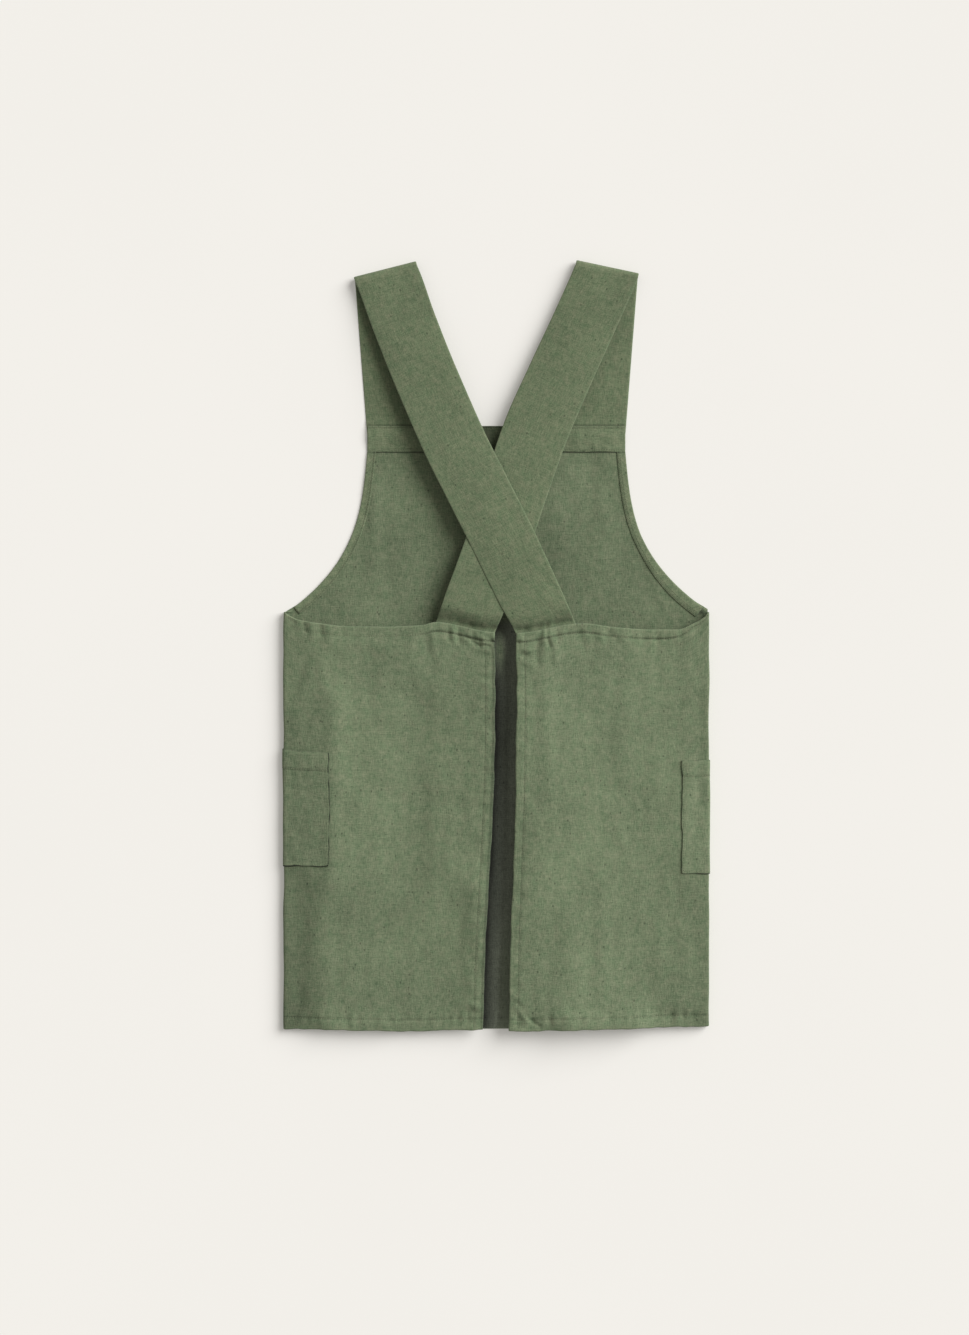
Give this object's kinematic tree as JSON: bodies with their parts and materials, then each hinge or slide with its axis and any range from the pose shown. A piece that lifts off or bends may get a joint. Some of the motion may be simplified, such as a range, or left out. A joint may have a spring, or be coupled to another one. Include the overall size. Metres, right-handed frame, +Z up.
{
  "type": "cross back apron",
  "caption": "Linen cross back apron lying on its front: bib, side-wrapping backs with a centre slit, wide straps that cross on the back, and patch pockets round the side folds.",
  "frame": {"origin": "on the surface that the apron lies on, under the middle of its box", "axes": "+Z up from the surface, +Y from the hem towards the shoulders, +X towards the right strap as seen from above"},
  "size_m": [0.5776, 1.0402, 0.0288],
  "materials": {
    "body_linen": "garment-washed plain-weave linen, sage green, matt, with slubs and dark flecks",
    "facing_linen": "the same linen as narrow stitched facings, matt",
    "strap_linen": "the same linen doubled and pressed flat, matt",
    "pocket_linen": "the same linen with a hemmed mouth, matt"
  },
  "bodies": {
    "root": {"body": "body_linen", "bib_facing": "facing_linen", "armhole_facing_left": "facing_linen", "armhole_facing_right": "facing_linen", "strap_left": "strap_linen", "strap_right": "strap_linen", "pocket_left": "pocket_linen", "pocket_right": "pocket_linen"}
  },
  "joints": []
}
